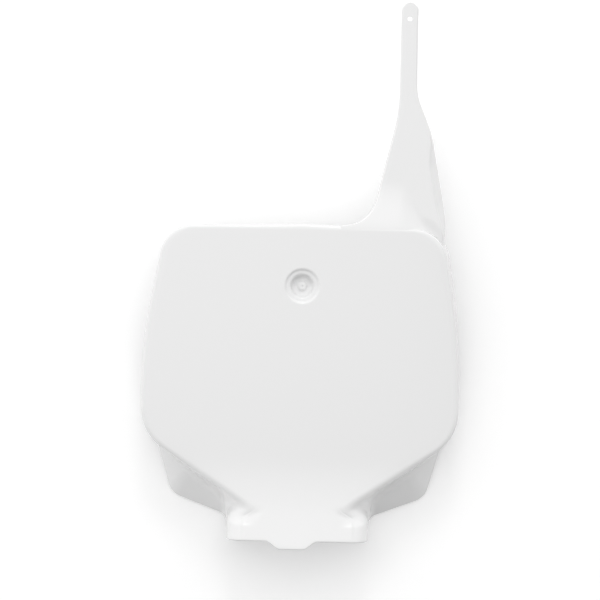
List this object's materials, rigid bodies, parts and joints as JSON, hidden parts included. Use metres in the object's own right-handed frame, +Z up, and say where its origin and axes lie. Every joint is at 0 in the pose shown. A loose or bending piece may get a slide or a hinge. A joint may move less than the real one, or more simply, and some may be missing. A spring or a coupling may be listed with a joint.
{
  "type": "racing number board",
  "caption": "White moulded front number board with a crowned face, a walled edge, flared lower skirts, a tabbed collar and an upright fixing strap.",
  "frame": {"origin": "the middle of the drill spot on the floor of the bolt cup", "axes": "+X towards the fixing strap's side, +Y to the rear, +Z up towards the strap's end"},
  "size_m": [0.2562, 0.0618, 0.441],
  "materials": {
    "board_plastic": "gloss"
  },
  "bodies": {
    "root": {"number_board": "board_plastic"}
  },
  "joints": []
}
